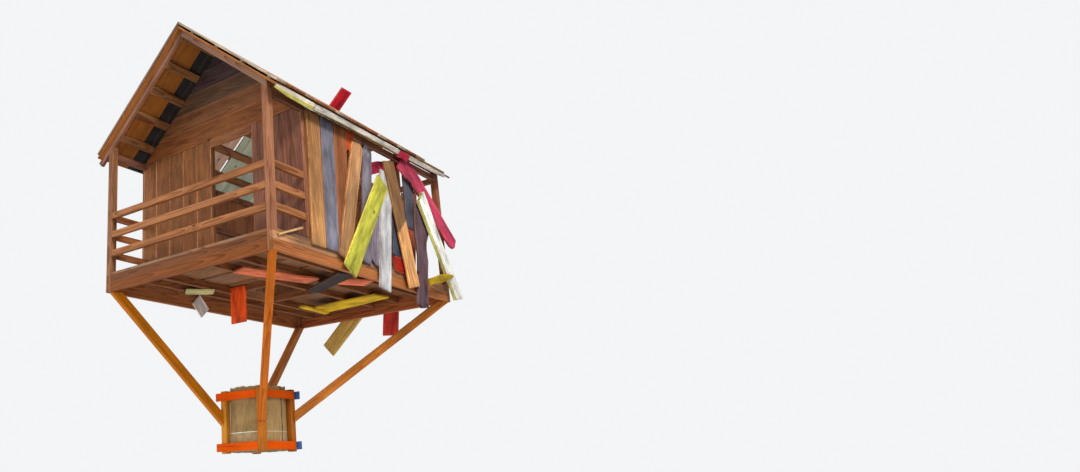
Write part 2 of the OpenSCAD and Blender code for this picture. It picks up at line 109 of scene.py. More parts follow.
class Finish:
    """A material and the few ways in which its node tree is built."""

    def __init__(self, name):
        self.material = bpy.data.materials.new(name)
        self.material.use_nodes = True
        self.nodes = self.material.node_tree.nodes
        self.links = self.material.node_tree.links
        self.shader = self.nodes["Principled BSDF"]

    def feed(self, socket, value):
        if isinstance(value, Value):
            self.links.new(value.socket, socket)
        elif hasattr(value, "__len__"):
            socket.default_value = (*value, 1.0)[:len(socket.default_value)]
        else:
            socket.default_value = value

    def add(self, kind, settings=None, sockets=None, out=0):
        """A node of this kind: its settings first, then its sockets by name or number."""
        node = self.nodes.new("ShaderNode" + kind)
        for key, setting in (settings or {}).items():
            if key == "stops":
                ramp = node.color_ramp.elements
                while len(ramp) < len(setting):
                    ramp.new(0.5)
                for stop, (place, grey) in zip(ramp, setting):
                    stop.position, stop.color = place, (grey, grey, grey, 1.0)
            else:
                setattr(node, key, setting)
        for key, value in (sockets or {}).items():
            self.feed(node.inputs[key], value)
        return Value(self, node.outputs[out])

    def attribute(self, name, out="Vector"):
        return self.add("Attribute", {"attribute_name": name}, out=out)

    def split(self, vector):
        node = self.add("SeparateXYZ", sockets={0: vector})
        return [Value(self, socket) for socket in node.socket.node.outputs]

    def join(self, x, y, z):
        return self.add("CombineXYZ", sockets={0: x, 1: y, 2: z})

    def noise(self, vector, scale=1.0, detail=2.0, rough=0.5):
        return self.add("TexNoise", sockets={
            "Vector": vector, "Scale": scale, "Detail": detail, "Roughness": rough})

    def blend(self, factor, first, second):
        """The second colour over the first one, as far as the factor says."""
        return self.add("Mix", {"data_type": "RGBA"}, {0: factor, 6: first, 7: second}, out=2)

    def tint(self, colour, amount):
        """A colour times a number."""
        return self.add("VectorMath", {"operation": "SCALE"}, {0: colour, "Scale": amount})

    def done(self, colour, roughness, height, depth, **constants):
        """Feeds the shader, with the height turned into a bump of that depth in metres."""
        bump = self.add("Bump", sockets={"Height": height, "Distance": depth, "Strength": 1.0})
        for key, value in {"Base Color": colour, "Roughness": roughness, "Normal": bump}.items():
            self.feed(self.shader.inputs[key], value)
        for key, value in constants.items():
            self.shader.inputs[key.replace("_", " ")].default_value = value
        return self.material


def shade(red, green, blue):
    """A colour on the 0 to 255 scale as the linear numbers that the shader takes."""
    c = np.array([red, green, blue]) / 255.0
    linear = np.where(c <= 0.04045, c / 12.92, ((c + 0.055) / 1.055) ** 2.4)
    return tuple(float(v) for v in linear)


print("a mid brown is", [round(v, 3) for v in shade(140, 95, 60)])

# %% [markdown]
# ## Studio
# The hut is looked at from below, so the underside needs light too. One could add lamps from
# below, but a pale floor two metres down throws the light back up as the ground does. The sky is
# a soft even light, and a broad lamp from the upper right gives the shadows their direction.

# %% Floor, sky and lamps
FLOOR_Z, FLOOR_HALF = -2.0, 40.0
FLOOR_COLOUR = (0.77, 0.77, 0.76, 1.0)
SKY_SEEN, SKY_SHINE, SKY_STRENGTH = (0.90, 0.91, 0.92, 1.0), (0.93, 0.97, 1.0, 1.0), 0.55
floor_mesh = bpy.data.meshes.new("floor")
floor_mesh.from_pydata([(x * FLOOR_HALF, y * FLOOR_HALF, FLOOR_Z) for x, y in (
    (-1, -1), (1, -1), (1, 1), (-1, 1))], [], [(0, 1, 2, 3)])
floor = bpy.data.objects.new("floor", floor_mesh)
bpy.context.scene.collection.objects.link(floor)
floor_finish = Finish("floor")
floor_finish.shader.inputs["Base Color"].default_value = FLOOR_COLOUR
floor_finish.shader.inputs["Roughness"].default_value = 0.9
floor_mesh.materials.append(floor_finish.material)

world = bpy.data.worlds.new("sky")
bpy.context.scene.world = world
world.use_nodes = True
sky = world.node_tree
sky.nodes.clear()
rays = sky.nodes.new("ShaderNodeLightPath")
seen = sky.nodes.new("ShaderNodeBackground")
seen.inputs[0].default_value = SKY_SEEN
light = sky.nodes.new("ShaderNodeBackground")
light.inputs[0].default_value = SKY_SHINE
light.inputs[1].default_value = SKY_STRENGTH
either = [sky.nodes.new("ShaderNodeMath") for _ in range(2)]
for node in either:
    node.operation = "MAXIMUM"
sky.links.new(rays.outputs["Is Camera Ray"], either[0].inputs[0])
sky.links.new(rays.outputs["Is Glossy Ray"], either[0].inputs[1])
sky.links.new(either[0].outputs[0], either[1].inputs[0])
sky.links.new(rays.outputs["Is Transmission Ray"], either[1].inputs[1])
choice = sky.nodes.new("ShaderNodeMixShader")
sky.links.new(either[1].outputs[0], choice.inputs[0])
sky.links.new(light.outputs[0], choice.inputs[1])
sky.links.new(seen.outputs[0], choice.inputs[2])
sky.links.new(choice.outputs[0], sky.nodes.new("ShaderNodeOutputWorld").inputs[0])


def lamp(name, place, target, power, size, colour=(1.0, 1.0, 1.0)):
    """A square area lamp at a place, turned to a target."""
    data = bpy.data.lights.new(name, "AREA")
    data.energy, data.size, data.color = power, size, colour
    thing = bpy.data.objects.new(name, data)
    thing.location = place
    thing.rotation_euler = (Vector(target) - Vector(place)).to_track_quat("-Z", "Y").to_euler()
    bpy.context.scene.collection.objects.link(thing)


HUT_MIDDLE = (0.4, 0.5, 2.6)
lamp("key", (8.5, -3.5, 8.5), HUT_MIDDLE, 890.0, 2.5, (1.0, 0.97, 0.93))
lamp("fill", (-7.0, -7.0, 3.5), HUT_MIDDLE, 280.0, 5.0)
lamp("low", (2.0, -6.5, -0.95), HUT_MIDDLE, 72.0, 2.2)
lamp("cabin", (1.2, 1.2, 2.3), (-0.2, 0.9, 4.0), 16.0, 0.7)
lamp("rear", (-4.0, 9.0, 6.0), HUT_MIDDLE, 300.0, 5.0)
print("lamps:", len(bpy.data.lights))

# %% [markdown]
# ## Taking the solids out of a node
# A construction node holds many boards as one loose heap of triangles. Blender can separate loose
# parts with an operator, but that makes an object for each of 250 solids. Here the corners are
# merged by their rounded places, and every triangle hands its lowest label to its corners until
# nothing changes. Corners that end with the same label belong to the same board.

# %% Loose parts with numpy
MERGE_STEPS = 2e4   # to the metre: corners within one step of 0.05 mm are one


def solids_of(node):
    """The node's separate solids, each as (corners, triangles), in the order of their middles."""
    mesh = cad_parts[node].data
    mesh.calc_loop_triangles()
    place = np.empty(len(mesh.vertices) * 3)
    mesh.vertices.foreach_get("co", place)
    corner = np.empty(len(mesh.loop_triangles) * 3, dtype=np.int64)
    mesh.loop_triangles.foreach_get("vertices", corner)
    key = np.round(place.reshape(-1, 3) * MERGE_STEPS).astype(np.int64)
    key, first, which = np.unique(key, axis=0, return_index=True, return_inverse=True)
    points = place.reshape(-1, 3)[first]
    faces = which.reshape(-1)[corner].reshape(-1, 3)
    label = np.arange(len(points))
    while True:
        lowest = label[faces].min(axis=1)
        before = label.copy()
        for k in range(3):
            np.minimum.at(label, faces[:, k], lowest)
        if (label == before).all():
            break
    solids = []
    for name in np.unique(label):
        mine = np.flatnonzero(label == name)
        own = faces[label[faces[:, 0]] == name]
        solids.append((points[mine], np.searchsorted(mine, own)))
    return sorted(solids, key=lambda s: tuple(np.round(s[0].mean(axis=0), 3)))


print("solids in the collar's posts:", len(solids_of("collar_posts")))

# %% [markdown]
# ## A board as a box with three directions
# To wrap a board in grain one must know which way is its length, its width and its thickness. The
# eight corners are put in a 2 x 2 x 2 array: opposite sides are the two that share no corner,
# and the pair that is furthest apart are the board's ends. A mitred rafter or a gable board cut to
# the slope is no true box, but this holds for it too.

# %% Corners in order
SAME_WAY, SAME_PLANE = 0.9999, 0.0001
FROM_FOOT_TO_HEAD = (0.02, 0.1, 1.0)


def ordered_corners(points, faces):
    """The 8 corners as an array [length, width, thickness, xyz], or None for other solids."""
    if len(points) != 8 or len(faces) != 12:
        return None
    a, b, c = (points[faces[:, k]] for k in range(3))
    normal = np.cross(b - a, c - a)
    normal /= np.linalg.norm(normal, axis=1, keepdims=True)
    level = (normal * a).sum(axis=1)
    same = (normal @ normal.T > SAME_WAY) & (abs(level[:, None] - level) < SAME_PLANE)
    sides = [np.unique(faces[same[i]]) for i in np.unique(same.argmax(axis=1))]
    if len(sides) != 6 or any(len(s) != 4 for s in sides):
        return None
    pairs = [(s, t) for i, s in enumerate(sides) for t in sides[i + 1:]
             if not np.intersect1d(s, t).size]
    if len(pairs) != 3:
        return None
    pairs.sort(key=lambda p: -np.linalg.norm(points[p[0]].mean(0) - points[p[1]].mean(0)))
    index = np.zeros((8, 3), dtype=int)
    for k, (low, high) in enumerate(pairs):
        index[high, k] = 1
    box = np.empty((2, 2, 2, 3))
    box[index[:, 0], index[:, 1], index[:, 2]] = points
    if edge_between(box, 0) @ FROM_FOOT_TO_HEAD < 0:
        box = box[::-1]
    if edge_between(box, 2) @ (points.mean(axis=0) - HUT_MIDDLE) < 0:
        box = box[:, :, ::-1]
    along, wide, thick = (edge_between(box, k) for k in range(3))
    if np.dot(np.cross(along, wide), thick) < 0:
        box = box[:, ::-1]
    return box


def edge_between(box, axis):
    """The mean of the four edges that run along one axis of the box."""
    return (np.take(box, 1, axis) - np.take(box, 0, axis)).reshape(-1, 3).mean(axis=0)


def inside(box, s, a, b):
    """Trilinear: each corner times its share in s (length), a (width) and b (thickness)."""
    weight = [np.stack([1 - t, t]) for t in (s, a, b)]
    return np.einsum("i...,j...,k...,ijkc->...c", *weight, box)


sample = ordered_corners(*solids_of("upper_rims")[0])
print("a rim timber measures", [round(float(np.linalg.norm(edge_between(sample, k))), 3)
                                for k in range(3)])

# %% [markdown]
# ## One board as one surface
# A board is a rounded rectangle carried along its length. Its outline has five points at each
# corner: two where the arris starts and ends, one in the middle of it, and two a little
# further in, which keep the flat sides flat in the smooth shading and give the worn edge its
# width. Real boards are never straight, so the surface bends: a bow across the thickness, a
# crook across the width, a twist, and edges that waver a little.

# %% The board's outline
SHOULDER, ARRIS = 0.008, 0.0025
ROUND = 0.293   # one minus the root of a half: the middle of a quarter circle


def rounded_outline(wide, thick, across):
    """Points round the section, from 0 to 1 both ways, how near each is to an arris, whether the
    stretch that starts there is on a narrow side, and the arris used. Across is the number of
    points added on a broad side."""
    m, r = min(SHOULDER, 0.3 * thick), min(ARRIS, 0.12 * thick)
    corner = np.array([(0, m), (0, r), (ROUND * r, ROUND * r), (r, 0), (m, 0)])
    run = [corner, (wide, 0) + corner[::-1] * (-1, 1), (wide, thick) - corner,
           (0, thick) + corner[::-1] * (1, -1)]
    step = np.linspace(m, wide - m, across + 2)[1:-1]
    flat = np.stack([step, np.zeros(across)], axis=1)
    outline = np.concatenate([run[0], flat, run[1], run[2], (0, thick) + flat[::-1], run[3]])
    near, side = np.array([0.0, 1.0, 1.0, 1.0, 0.0]), np.array([1, 1, 0, 0, 0], dtype=bool)
    level, none = np.zeros(across), np.zeros(across, dtype=bool)
    other = np.array([0, 0, 1, 1, 1], dtype=bool)
    return (outline / (wide, thick), np.concatenate([near, level, near, near, level, near]),
            np.concatenate([side, none, other, side, none, other]), r)


print("outline points:", len(rounded_outline(0.2, 0.025, 0)[0]))

# %% [markdown]
# The outline now goes along the length. The surface is cut finer where a board is ragged or has
# a shape of its own, such as a slanting edge or an end that isn't square. Nails go in where a
# board crosses the frame: at the rim, the middle rail and the plate, or near the ends of a board
# that lies.

# %% The board's surface
DECK_FOOT = (0.360, 0.4867, 1.685)
NAIL_HEIGHTS = DECK_FOOT[2] + np.array([0.14, 1.118, 1.633])
NAILED_ENDS, TWO_NAILS_WIDE = (0.03, 0.97), 0.09
STEP_SHAPED, STEP_RAGGED, STEP_PLAIN = 0.025, 0.06, 0.22
END_REACH = 0.25
WAVER, RAGGED = (5.1, 11.7, 23.0), (9.0, 31.0, 67.0)


def board_surface(box, warp, cut=None, foot=None, head=None, fine=False):
    """Point (i, j): the box at station i of the length and point j of the outline, moved along the
    thickness by bow * 4s(1-s) + twist * 4(s-1/2)(a-1/2) + cup * ((2a-1)^2 - 1/3), and along the
    width by crook * 4s(1-s), a waver of three sines and a raggedness that grows from the middle.
    A cut is rows of (share of the length, low edge, high edge); foot and head are rows of
    (share of the width, metres by which the end is set back there), and what they do dies away
    over END_REACH of the length. A fine board gets the close stations of a cut one."""
    along, wide, thick = (edge_between(box, k) for k in range(3))
    l, w, t = (np.linalg.norm(v) for v in (along, wide, thick))
    shaped = fine or cut is not None or foot is not None or head is not None
    outline, near, narrow, r = rounded_outline(w, t, 9 if shaped else 0)
    bow, crook, twist, cup, waver, ragged = warp * chance.uniform(-1, 1, 6)
    step = STEP_SHAPED if shaped else STEP_RAGGED if ragged else STEP_PLAIN
    middle = np.linspace(0.0, 1.0, max(3, int(round(l / step))) + 1)[1:-1]
    lead = np.array([0.0, r, min(0.035, 0.2 * l)]) / l
    middle = middle[(middle > lead[2] * 1.2) & (middle < 1 - lead[2] * 1.2)]
    station = np.concatenate([lead, middle, 1 - lead[::-1]])
    tip = np.zeros(len(station))
    tip[[0, 1, -2, -1]] = 1.0
    tip[[2, -3]] = 0.45
    phase = chance.uniform(0, 2 * math.pi, 8)

    def moved(s, a, b):
        if cut is not None:
            low, high = (np.interp(s, np.array(cut)[:, 0], np.array(cut)[:, k]) for k in (1, 2))
            a = low + (high - low) * a
        if foot is not None:
            s = s + np.interp(a, *np.array(foot).T) / l * np.clip(1 - s / END_REACH, 0, 1)
        if head is not None:
            s = s - np.interp(a, *np.array(head).T) / l * np.clip(1 - (1 - s) / END_REACH, 0, 1)
        arch = 4 * s * (1 - s)
        wave = sum(np.sin(s * l * f + p) / 3 for f, p in zip(WAVER, phase))
        rough = sum(np.sin(s * l * f + p + np.sign(a - 0.5)) / 3
                    for f, p in zip(RAGGED, phase[3:]))
        lift = bow * arch + 4 * twist * (s - 0.5) * (a - 0.5) + cup * ((2 * a - 1) ** 2 - 1 / 3)
        slide = crook * arch + waver * wave + ragged * rough * (2 * a - 1)
        return inside(box, s, a, b) + lift[..., None] * thick / t + slide[..., None] * wide / w

    s, a = np.meshgrid(station, outline[:, 0], indexing="ij")
    b = np.broadcast_to(outline[:, 1], s.shape)
    tuck = np.zeros(len(station))
    tuck[[0, -1]] = 0.7 * r
    a = a + (0.5 - a) * 2 * tuck[:, None] / w
    b = b + (0.5 - b) * 2 * tuck[:, None] / t
    place = moved(s, a, b)
    side = chance.choice((-1, 1)) * (t / 2 + chance.uniform(0.004, 0.06))
    heart, start = chance.uniform(-0.3, 0.3) * w, chance.uniform(0, 60)
    grain = np.stack([s * l + start, (a - 0.5) * w - heart, (b - 0.5) * t - side], axis=-1)
    steep = abs(along[2]) > 0.5 * l
    ends = NAIL_HEIGHTS - box[0, ..., 2].mean()
    ends = ends / along[2] if steep else np.array(NAILED_ENDS)
    ends = ends[(ends > 0.015) & (ends < 0.985)]
    rows = np.array([0.2, 0.8]) if w > TWO_NAILS_WIDE else np.array([0.5])
    u, v = (grid.ravel() for grid in np.meshgrid(ends, rows, indexing="ij"))
    u = u + chance.uniform(-0.012, 0.012, len(u)) / l
    v = v + chance.uniform(-0.03, 0.03, len(v))
    spots = moved(u, v, np.ones(len(u))), np.tile(thick / t, (len(u), 1))
    return (place, grain, np.broadcast_to(near, s.shape), np.broadcast_to(tip[:, None], s.shape),
            s, outline[:, 0], narrow, spots)


def skin(rows, columns):
    """Quads of a grid that closes round its columns, outward, and an end face at each end."""
    i, j = np.meshgrid(np.arange(rows - 1), np.arange(columns), indexing="ij")
    k = (j + 1) % columns
    quads = np.stack([i * columns + j, i * columns + k, (i + 1) * columns + k,
                      (i + 1) * columns + j], axis=-1).reshape(-1, 4)
    first = np.arange(columns)[::-1]
    return quads, [first, np.arange(columns) + (rows - 1) * columns]


print("faces of a board with 8 stations:", len(skin(8, 20)[0]) + 2)

# %% [markdown]
# ## Solids that are no plain boxes
# The braces are cut to the posts and the end deck boards are notched round the corner posts. For
# these the construction mesh is copied, merged, and its flat triangles are joined to faces. Each
# face gets a narrow inner border, and then the sharp edges are bevelled. The grain runs along
# the longest edge.

# %% Eased solids
def eased_solid(points, faces):
    """The solid with bevelled edges: places, faces, grain and nearness to an arris."""
    mesh = bmesh.new()
    corners = [mesh.verts.new(p) for p in points]
    for f in faces:
        mesh.faces.new([corners[i] for i in f])
    bmesh.ops.dissolve_limit(mesh, angle_limit=0.01, verts=mesh.verts, edges=mesh.edges)
    longest = max(mesh.edges, key=lambda e: e.calc_length())
    along = np.array(longest.verts[1].co - longest.verts[0].co)
    broad = np.array(max(mesh.faces, key=lambda f: f.calc_area()).normal)
    along /= np.linalg.norm(along)
    wide = np.cross(broad, along)
    bmesh.ops.inset_individual(mesh, faces=mesh.faces, thickness=SHOULDER, use_even_offset=True)
    sharp = [e for e in mesh.edges if len(e.link_faces) == 2 and e.calc_face_angle() > 0.2]
    bmesh.ops.bevel(mesh, geom=sharp, offset=ARRIS, segments=2, profile=0.5, affect="EDGES")
    mesh.verts.index_update()
    place = np.array([v.co for v in mesh.verts])
    near = np.array([float(max((e.calc_face_angle(0.0) for e in v.link_edges), default=0) > 0.09)
                     for v in mesh.verts])
    turned = [[v.index for v in f.verts] for f in mesh.faces]
    mesh.free()
    grain = (place - place.mean(axis=0)) @ np.array([along, wide, broad]).T
    grain += [chance.uniform(0, 60), chance.uniform(-0.03, 0.03), chance.uniform(0.01, 0.05)]
    return place, turned, grain, near


print("corners of a brace:", len(solids_of("brace_front_right")[0][0]))

# %% [markdown]
# ## Nails
# The boards are held by round wire nails, and their heads are the only part that shows. Each is
# a small cap of thirteen points, since a finer dome would look the same from where one stands.

# %% Nail heads
NAIL_RINGS = ((0.0046, -0.002), (0.0042, 0.0007))
NAIL_TOP = 0.0011


def nail_heads(centre, normal):
    """Two rings of six points (radius, height) and a middle for each head, which stands a
    millimetre proud."""
    side = np.cross(normal, (0.31, 0.52, 0.79))
    side /= np.linalg.norm(side, axis=1, keepdims=True)
    other = np.cross(normal, side)
    turn = np.arange(6)[:, None] * math.pi / 3
    ring = np.cos(turn) * side[:, None] + np.sin(turn) * other[:, None]
    up, middle = normal[:, None], centre[:, None]
    points = np.concatenate([middle + ring * radius + up * height for radius, height in NAIL_RINGS]
                            + [middle + up * NAIL_TOP], axis=1)
    k = np.arange(6)
    n = (k + 1) % 6
    wall = np.stack([k, n, n + 6, k + 6], axis=1)
    roof = np.stack([k + 6, n + 6, np.full(6, 12)], axis=1)
    first = np.arange(len(centre)) * 13
    faces = [list(f + i) for i in first for f in (*wall, *roof, k[::-1])]
    return points.reshape(-1, 3), faces


print("faces of a nail head:", len(nail_heads(np.zeros((1, 3)), np.array([[0.0, 0.0, 1.0]]))[1]))

# %% [markdown]
# ## From a node to a finished piece
# Every node becomes one piece, with its boards side by side in one mesh. What differs from board
# to board is stored in the mesh for the finish to read: `grain` is the place within the board,
# `edge` and `tip` say how near an arris or an end is, `paint` is the coat's colour, `share` and
# `fade` say where a board is paler or darker, which on some boards is a painted patch of
# sunlight, `end` marks its two sawn ends, and `board` holds three draws: how dark the board is,
# how worn, and how warm.

# %% Piece maker
# the most that a new timber bows, crooks, twists, cups, wavers and is ragged, in metres
NEW_TIMBER = (0.002, 0.002, 0.001, 0.0006, 0.0006, 0.0)
pieces = []


def dress(node, slot, looks, warp=NEW_TIMBER, nails=False):
    """Replaces a node by one mesh of its boards. looks is a list of (point, material, colour), and
    a board takes the look whose point is nearest to its middle. A fourth item is a dict of what
    only this board has: side, a colour for its narrow sides; fade, the (start, stop, strength) of
    a paler or darker part, on some boards a painted patch of sunlight; skirt and tail, a (share,
    colour) for its low edge and its far end; and the cut, foot and head of board_surface."""
    places, polygons, materials, spots = [], [], [], []
    kinds = {"grain": "POINT", "edge": "POINT", "tip": "POINT", "share": "POINT", "end": "FACE",
             "paint": "FACE", "board": "FACE", "fade": "FACE", "material": "FACE"}
    data = {name: [] for name in kinds}
    total = 0

    def collect(place, faces, **values):
        nonlocal total, polygons
        places.append(place)
        polygons += [[int(v) + total for v in f] for f in faces]
        for name, kind in kinds.items():
            count = len(place) if kind == "POINT" else len(faces)
            value = np.asarray(values[name], dtype=float)
            whole = value.ndim and len(value) == count
            data[name].append(value if whole else np.broadcast_to(value, (count, *value.shape)))
        total += len(place)

    for points, faces in solids_of(node):
        middle = points.mean(axis=0)
        look = min(looks, key=lambda k: np.linalg.norm(np.array(k[0]) - middle))
        material, colour, more = look[1], look[2], dict(look[3]) if len(look) > 3 else {}
        if material not in materials:
            materials.append(material)
        side, fade = more.pop("side", colour), more.pop("fade", (0.0, 1.0, 0.0))
        skirt, tail = more.pop("skirt", None), more.pop("tail", None)
        values = dict(board=chance.uniform(0, 1, 3), fade=fade, material=materials.index(material))
        box = ordered_corners(points, faces)
        if box is None:
            place, turned, grain, near = eased_solid(points, faces)
            collect(place, turned, grain=grain, edge=near, tip=0.0, share=0.0, end=0.0,
                    paint=colour, **values)
            continue
        place, grain, near, tip, share, across, narrow, where = board_surface(
            box, np.array(warp), fine=bool(skirt), **more)
        spots.append(where)
        rows, columns = share.shape
        quads, caps = skin(rows, columns)
        paint = np.tile(colour, (rows - 1, columns, 1))
        paint[:, narrow] = side
        if skirt:
            paint[:, (across + np.roll(across, -1)) / 2 < skirt[0]] = skirt[1]
        if tail:
            paint[share[1:].min(axis=1) > tail[0]] = tail[1]
        paint = np.concatenate([paint.reshape(-1, 3), paint[0, :1], paint[-1, :1]])
        collect(place.reshape(-1, 3), list(quads) + caps, grain=grain.reshape(-1, 3),
                edge=near.ravel(), tip=tip.ravel(), share=share.ravel(), paint=paint,
                end=np.r_[np.zeros(len(quads)), 1, 1], **values)
    if nails:
        materials.append(steel)
        place, faces = nail_heads(*(np.concatenate(k) for k in zip(*spots)))
        collect(place, faces, grain=place, edge=0.0, tip=0.0, share=0.0, end=0.0,
                paint=(0.1, 0.1, 0.1), board=(0.5, 0.5, 0.5), fade=(0.0, 1.0, 0.0),
                material=len(materials) - 1)
    mesh = bpy.data.meshes.new(node)
    mesh.from_pydata(np.concatenate(places).tolist(), [], polygons)
    data = {name: np.concatenate(parts) for name, parts in data.items()}
    mesh.polygons.foreach_set("material_index", data.pop("material").astype(np.int32))
    mesh.polygons.foreach_set("use_smooth", data["end"] == 0.0)
    for name, values in data.items():
        vector = values.ndim == 2
        layer = mesh.attributes.new(name, "FLOAT_VECTOR" if vector else "FLOAT", kinds[name])
        layer.data.foreach_set("vector" if vector else "value", np.ravel(values))
    for material in materials:
        mesh.materials.append(material)
    mesh.update()
    placed(mesh, "dressed_" + node, slot, node)


def placed(mesh, name, slot, *replaced):
    """The mesh as a piece that rides on the hut."""
    piece = bpy.data.objects.new(name, mesh)
    bpy.context.scene.collection.objects.link(piece)
    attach(piece, "root")
    if replaced:
        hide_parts(*replaced)
    pieces.append(piece)
    return piece


print("ready to dress", len(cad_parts), "nodes")

# %% [markdown]
# ## Wood figure
# A sawn board shows where the saw went through the log's rings. Since every board knows its place
# along, across and through, the distance from the log's heart is a plain root of squares, and
# its fraction gives the rings. The distance also grows along the board, because a log tapers,
# and this makes the pointed arches on a flat face. Knots come from a cell pattern with most of
# its cells switched off, and they push the rings aside.

# %% Rings, knots, fibres and cracks
def figure(f, rings, knots):
    """Five masks from 0 to 1: late wood, knot, streak, fibre and crack. The rings are the fraction
    of heart * rings + a slow noise + a little of the length + a swirl round each knot."""
    along, across, through = f.split(f.attribute("grain"))
    slow = f.noise(f.join(along * 0.9, across * 4.0, through * 4.0), detail=2.0) - 0.5
    cell = f.add("TexVoronoi", {"feature": "F1"}, {
        "Vector": f.join(along * 2.4, across * 4.4, through * 0.7), "Scale": 1.0,
        "Randomness": 0.85})
    which = f.split(Value(f, cell.socket.node.outputs["Color"]))[0]
    there = which.ramp(1.0 - knots, 1.0 - knots + 0.02)
    swirl = (cell * cell * -42.0).math("EXPONENT") * there
    heart = (across * across + through * through).math("SQRT")
    turn = (heart * rings + slow * 6.0 + along * 1.3 + swirl * 2.6).math("FRACT")
    late = f.add("ValToRGB", {"stops": [(0.0, 0.0), (0.55, 0.22), (0.9, 1.0), (1.0, 0.0)]},
                 {0: turn})
    knot = (1.0 - cell.ramp(0.05, 0.09)) * there
    band = f.noise(f.join(along * 0.5, across * 8.0, through * 8.0), detail=1.0)
    streak = f.noise(f.join(along * 0.9, across * 19.0, through * 19.0), detail=3.0, rough=0.6)
    fibre = f.noise(f.join(along * 4.0, across * 330.0, through * 330.0), detail=2.0)
    split = f.noise(f.join(along * 1.6, across * 95.0, through * 95.0), detail=1.0)
    crack = split.ramp(0.70, 0.745)
    return late, knot, (band + streak) * 0.5, fibre, crack


def times(f, colour, factors):
    return f.add("VectorMath", {"operation": "MULTIPLY"}, {0: colour, 1: factors})


def grown(f, colour, deep, masks, contrast):
    """The colour with the figure drawn in it: towards the deep tint in late wood and streaks."""
    late, knot, streak, fibre, crack = masks
    dark = times(f, colour, deep)
    share = late * (0.75 * contrast) + (streak - 0.45) * (2.3 * contrast) + (
        fibre - 0.5) * (0.5 * contrast)
    wood = f.blend(share.ramp(-0.1, 1.0), colour, dark)
    wood = f.blend(knot * 0.85, wood, times(f, dark, (0.42, 0.30, 0.24)))
    return f.blend(crack * 0.6, wood, f.tint(dark, 0.3))


print("wood figure: five masks")

# %% [markdown]
# ## Finishes of the hut
# The frame and the front are stained: the grain shows through fully, the arrises are worn
# paler and the sawn ends are dark. The scrap boards carry old paint, thin enough for the grain to
# ripple it, chipped along the edges down to bare wood. Bare timber has gone grey in patches.
# One function makes these three, because they differ in how much the coat covers. On the real hut
# light comes through between the boards of the front wall. That light is painted here on the
# arrises: the front wall's stain is much paler along them than the other stains are, and the wall
# stain is paler there too, though less so.

# %% Coated timber
def timber(name, deep, contrast, cover, chips, grey, rough, knots=0.4, mottle=0.3,
           sheen=0.2, rings=56.0, arris_wear_and_seam_light=(1.27, 1.225, 1.195)):
    """cover: how opaque the coat is. chips: how much of it is gone. grey: share of weathered wood.
    rubbed: how much paler the arrises are, from wear, and on the two wall stains also as painted
    light in the seams between boards. mottle: how uneven the coat is. sheen: strength of the
    gloss. rings: rings to the metre."""
    f = Finish(name)
    masks = late, knot, streak, fibre, crack = figure(f, rings, knots)
    tone, wear, warm = f.split(f.attribute("board"))
    start, stop, strength = f.split(f.attribute("fade"))
    along, across, through = f.split(f.attribute("grain"))
    edge_near, tip, end, share = (f.attribute(k, "Fac") for k in ("edge", "tip", "end", "share"))
    spot = f.add("TexCoord", out="Object")
    blotch = f.noise(spot, scale=2.1, detail=3.0)
    scuff = f.noise(spot, scale=21.0, detail=4.0, rough=0.65)
    patch = f.noise(f.join(along * 3.0, across * 11.0, through * 11.0), detail=4.0, rough=0.62)
    colour = f.tint(f.attribute("paint"), tone * 0.24 + 0.88)
    colour = f.blend(warm * 0.25, colour, times(f, colour, (1.12, 0.95, 0.78)))
    # A part between start and stop is made paler or darker. On some boards this is a painted patch
    # of sunlight; on others it is a coat that has bleached or darkened.
    faded_and_sunlit = (share + (scuff - 0.5) * 0.12 + across * 0.45).ramp(start, stop)
    colour = f.tint(colour, faded_and_sunlit * strength + 1.0)
    colour = f.tint(colour, (patch - 0.5) * (3.0 * mottle) + 1.0)
    wood = grown(f, colour, deep, masks, contrast)
    wood = f.blend(blotch.ramp(0.35, 0.75) * 0.3, wood, f.tint(wood, 0.66))
    if grey:
        silver = grown(f, shade(150, 141, 130), (0.55, 0.52, 0.5), masks, 0.8)
        wood = f.blend(((streak + blotch) * 0.5).ramp(0.46, 0.60) * grey, wood, silver)
    bare = grown(f, shade(168, 124, 82), (0.6, 0.44, 0.34), masks, 0.9)
    loose = edge_near * 0.55 + tip * 0.16 + scuff * 0.75 + late * 0.12 + wear * 0.2
    gone = loose.ramp(1.02 - chips, 1.2 - chips)
    wood = f.blend(gone * cover, wood, bare)
    # Paler arrises: worn on most coats. On the two wall stains they are mostly painted light,
    # standing for the light that comes through between the boards.
    wood = f.blend(edge_near.ramp(0.0, 0.6) * (1.0 - gone), wood, times(f, wood, arris_wear_and_seam_light))
    wood = f.blend(end * 0.6 + tip * (1.0 - end) * 0.22, wood, f.tint(wood, 0.45))
    relief = late * 0.25 + fibre * 0.35 - crack * 1.0 - knot * 0.2 - gone * (0.5 * cover)
    dull = streak * 0.18 + fibre * 0.1 + gone * 0.2 + (rough - 0.14)
    return f.done(wood, dull, relief, 0.0016, Specular_IOR_Level=sheen)


stained = timber("stained timber", (0.42, 0.30, 0.22), 0.85, 0.35, 0.10, 0.0, 0.66)
